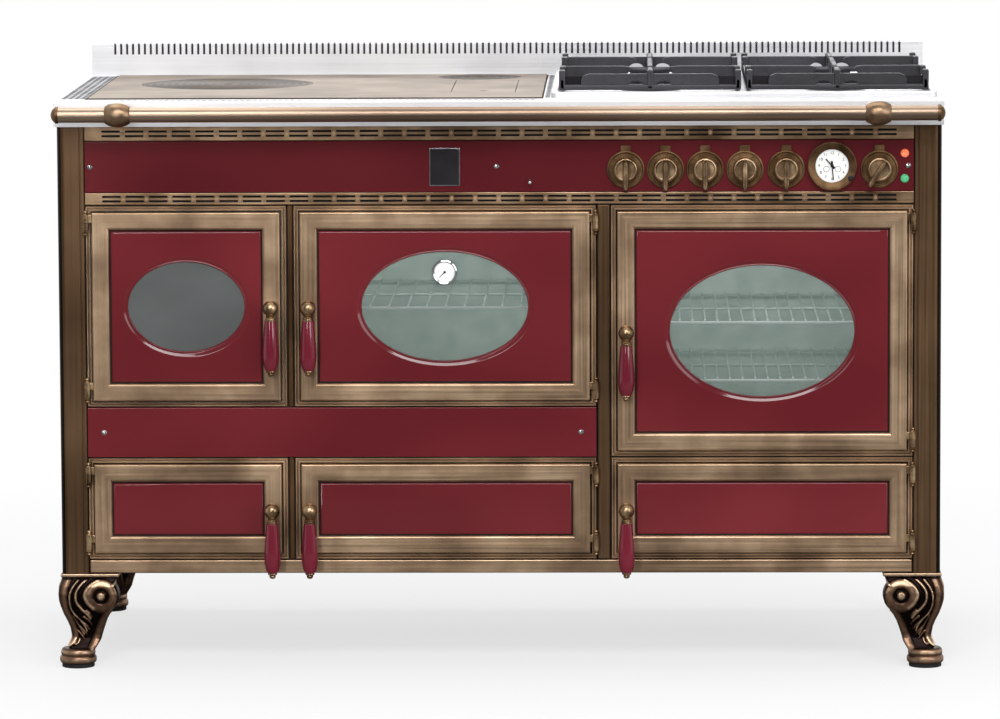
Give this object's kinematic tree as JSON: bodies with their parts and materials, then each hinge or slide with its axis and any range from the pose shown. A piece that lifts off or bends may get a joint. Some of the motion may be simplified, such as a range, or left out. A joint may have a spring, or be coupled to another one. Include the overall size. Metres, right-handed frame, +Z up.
{
  "type": "range cooker",
  "caption": "Range cooker with a wood firebox, wood and electric ovens, a cast iron hotplate and a gas hob, hinged doors and scroll feet.",
  "frame": {"origin": "on the floor under the middle of the whole object", "axes": "+X to the right seen from the front, +Y to the back, +Z up"},
  "size_m": [1.414, 0.7543, 0.9635],
  "materials": {
    "bronze": "brushed antique bronze with a brown patina",
    "brass": "plain machined brass",
    "enamel": "glossy wine-red vitreous enamel",
    "crimson_enamel": "glossy crimson enamel grip with bronze ends",
    "frame_steel": "mill-finish steel sheet",
    "stainless": "brushed stainless steel",
    "chrome": "polished",
    "lamp_plastic": "translucent faceted lens, orange above and green below",
    "ground_iron": "ground cast iron",
    "burner_iron": "matt black enamelled iron caps on aluminium bases",
    "grid_iron": "satin black enamelled cast iron",
    "firebrick": "matt firebrick lining with an iron grate",
    "oven_enamel": "semi-gloss grey-green oven enamel",
    "element_steel": "heat-tinted sheathed element",
    "black_plastic": "matt black",
    "window_glass": "clear heat-resistant glass"
  },
  "bodies": {
    "range": {"cast_feet": "bronze", "chassis": "frame_steel", "casing_panels": "enamel", "corner_posts": "bronze", "door_surrounds": "bronze", "vent_trims": "bronze", "control_panel": "enamel", "middle_panel": "enamel", "panel_screws": "chrome", "indicator_lamps": "lamp_plastic", "knob_bezels": "bronze", "clock_case": "bronze", "worktop": "stainless", "backguard": "stainless", "hotplate": "ground_iron", "hob_tray": "stainless", "burners": "burner_iron", "firebox": "firebrick", "ash_pan": "frame_steel", "wood_oven": "oven_enamel", "electric_oven": "oven_enamel", "oven_racks": "chrome", "heating_elements": "element_steel", "flue_collar": "ground_iron", "handrail": "bronze", "gas_manifold": "brass"},
    "firebox_door_leaf": {"firebox_door": "bronze", "firebox_door_panel": "enamel", "firebox_door_glass": "window_glass"},
    "firebox_handle": {"firebox_handle": "crimson_enamel"},
    "wood_oven_door_leaf": {"wood_oven_door": "bronze", "wood_oven_door_panel": "enamel", "wood_oven_door_glass": "window_glass", "oven_thermometer": "chrome"},
    "wood_oven_handle": {"wood_oven_handle": "crimson_enamel"},
    "electric_oven_door_leaf": {"electric_oven_door": "bronze", "electric_oven_door_panel": "enamel", "electric_oven_door_glass": "window_glass"},
    "electric_oven_handle": {"electric_oven_handle": "crimson_enamel"},
    "ash_door_leaf": {"ash_door": "bronze"},
    "ash_handle": {"ash_handle": "crimson_enamel"},
    "drawer_door_leaf": {"drawer_door": "bronze"},
    "drawer_handle": {"drawer_handle": "crimson_enamel"},
    "warming_door_leaf": {"warming_door": "bronze"},
    "warming_handle": {"warming_handle": "crimson_enamel"},
    "gas_knob_1": {"gas_knob_1": "bronze"},
    "gas_knob_2": {"gas_knob_2": "bronze"},
    "gas_knob_3": {"gas_knob_3": "bronze"},
    "gas_knob_4": {"gas_knob_4": "bronze"},
    "selector_knob": {"selector_knob": "bronze"},
    "thermostat_knob": {"thermostat_knob": "bronze"},
    "clock_set_knob": {"clock_set_knob": "black_plastic"},
    "hour_hand": {"hour_hand": "black_plastic"},
    "minute_hand": {"minute_hand": "black_plastic"},
    "toggle_lever": {"toggle_lever": "chrome"},
    "pan_support_left": {"pan_support_left": "grid_iron"},
    "pan_support_right": {"pan_support_right": "grid_iron"},
    "hotplate_lid": {"hotplate_lid": "ground_iron"},
    "flue_lid": {"flue_lid": "ground_iron"},
    "soot_hatch": {"soot_hatch": "ground_iron"}
  },
  "joints": [
    {"name": "firebox_door_hinge", "type": "hinge", "parent": "range", "child": "firebox_door_leaf", "pos_m": [-0.655, -0.29925, 0.581], "axis": [0, 0, -1], "range_deg": [0, 110]},
    {"name": "firebox_handle_turn", "type": "hinge", "parent": "firebox_door_leaf", "child": "firebox_handle", "pos_m": [-0.36125, -0.30055, 0.581], "axis": [0, 1, 0], "range_deg": [0, 80]},
    {"name": "wood_oven_door_hinge", "type": "hinge", "parent": "range", "child": "wood_oven_door_leaf", "pos_m": [0.153, -0.29925, 0.581], "axis": [0, 0, 1], "range_deg": [0, 95]},
    {"name": "wood_oven_handle_turn", "type": "hinge", "parent": "wood_oven_door_leaf", "child": "wood_oven_handle", "pos_m": [-0.30175, -0.30055, 0.581], "axis": [0, -1, 0], "range_deg": [0, 80]},
    {"name": "electric_oven_door_hinge", "type": "hinge", "parent": "range", "child": "electric_oven_door_leaf", "pos_m": [0.655, -0.29925, 0.54075], "axis": [0, 0, 1], "range_deg": [0, 110]},
    {"name": "electric_oven_handle_turn", "type": "hinge", "parent": "electric_oven_door_leaf", "child": "electric_oven_handle", "pos_m": [0.20125, -0.30055, 0.54075], "axis": [0, -1, 0], "range_deg": [0, 80]},
    {"name": "ash_door_hinge", "type": "hinge", "parent": "range", "child": "ash_door_leaf", "pos_m": [-0.655, -0.29925, 0.2575], "axis": [0, 0, -1], "range_deg": [0, 110]},
    {"name": "ash_handle_turn", "type": "hinge", "parent": "ash_door_leaf", "child": "ash_handle", "pos_m": [-0.36125, -0.30055, 0.2575], "axis": [0, 1, 0], "range_deg": [0, 80]},
    {"name": "drawer_door_hinge", "type": "hinge", "parent": "range", "child": "drawer_door_leaf", "pos_m": [0.153, -0.29925, 0.2575], "axis": [0, 0, 1], "range_deg": [0, 95]},
    {"name": "drawer_handle_turn", "type": "hinge", "parent": "drawer_door_leaf", "child": "drawer_handle", "pos_m": [-0.30175, -0.30055, 0.2575], "axis": [0, -1, 0], "range_deg": [0, 80]},
    {"name": "warming_door_hinge", "type": "hinge", "parent": "range", "child": "warming_door_leaf", "pos_m": [0.655, -0.29925, 0.2575], "axis": [0, 0, 1], "range_deg": [0, 110]},
    {"name": "warming_handle_turn", "type": "hinge", "parent": "warming_door_leaf", "child": "warming_handle", "pos_m": [0.20125, -0.30055, 0.2575], "axis": [0, -1, 0], "range_deg": [0, 80]},
    {"name": "gas_knob_1_turn", "type": "hinge", "parent": "range", "child": "gas_knob_1", "pos_m": [0.201, -0.29275, 0.79748], "axis": [0, -1, 0], "range_deg": [0, 210]},
    {"name": "gas_knob_2_turn", "type": "hinge", "parent": "range", "child": "gas_knob_2", "pos_m": [0.2637, -0.29275, 0.79748], "axis": [0, -1, 0], "range_deg": [0, 210]},
    {"name": "gas_knob_3_turn", "type": "hinge", "parent": "range", "child": "gas_knob_3", "pos_m": [0.3264, -0.29275, 0.79748], "axis": [0, -1, 0], "range_deg": [0, 210]},
    {"name": "gas_knob_4_turn", "type": "hinge", "parent": "range", "child": "gas_knob_4", "pos_m": [0.3891, -0.29275, 0.79748], "axis": [0, -1, 0], "range_deg": [0, 210]},
    {"name": "selector_knob_turn", "type": "hinge", "parent": "range", "child": "selector_knob", "pos_m": [0.4543, -0.29275, 0.79748], "axis": [0, 1, 0], "range_deg": [0, 315]},
    {"name": "thermostat_knob_turn", "type": "hinge", "parent": "range", "child": "thermostat_knob", "pos_m": [0.6013, -0.29275, 0.79748], "axis": [0, 1, 0], "range_deg": [-33, 257]},
    {"name": "clock_set_knob_turn", "type": "hinge", "parent": "range", "child": "clock_set_knob", "pos_m": [0.55541, -0.29275, 0.78411], "axis": [0, 1, 0], "continuous": true},
    {"name": "hour_hand_turn", "type": "hinge", "parent": "range", "child": "hour_hand", "pos_m": [0.5268, -0.29275, 0.80248], "axis": [0, 1, 0], "continuous": true},
    {"name": "minute_hand_turn", "type": "hinge", "parent": "range", "child": "minute_hand", "pos_m": [0.5268, -0.29275, 0.80248], "axis": [0, 1, 0], "continuous": true},
    {"name": "toggle_rock", "type": "hinge", "parent": "range", "child": "toggle_lever", "pos_m": [0.0495, -0.28675, 0.78348], "axis": [-1, 0, 0], "range_deg": [0, 40]},
    {"name": "pan_support_left_lift", "type": "slide", "parent": "range", "child": "pan_support_left", "axis": [0, 0, 1], "range_m": [0, 0.15]},
    {"name": "pan_support_right_lift", "type": "slide", "parent": "range", "child": "pan_support_right", "axis": [0, 0, 1], "range_m": [0, 0.15]},
    {"name": "hotplate_lid_lift", "type": "slide", "parent": "range", "child": "hotplate_lid", "axis": [0, 0, 1], "range_m": [0, 0.15]},
    {"name": "flue_lid_lift", "type": "slide", "parent": "range", "child": "flue_lid", "axis": [0, 0, 1], "range_m": [0, 0.15]},
    {"name": "soot_hatch_lift", "type": "slide", "parent": "range", "child": "soot_hatch", "axis": [0, 0, 1], "range_m": [0, 0.15]}
  ],
  "couplings": [
    {"joint": "hour_hand_turn", "follows": "minute_hand_turn", "ratio": 0.083333},
    {"joint": "clock_set_knob_turn", "follows": "minute_hand_turn", "ratio": 1}
  ]
}
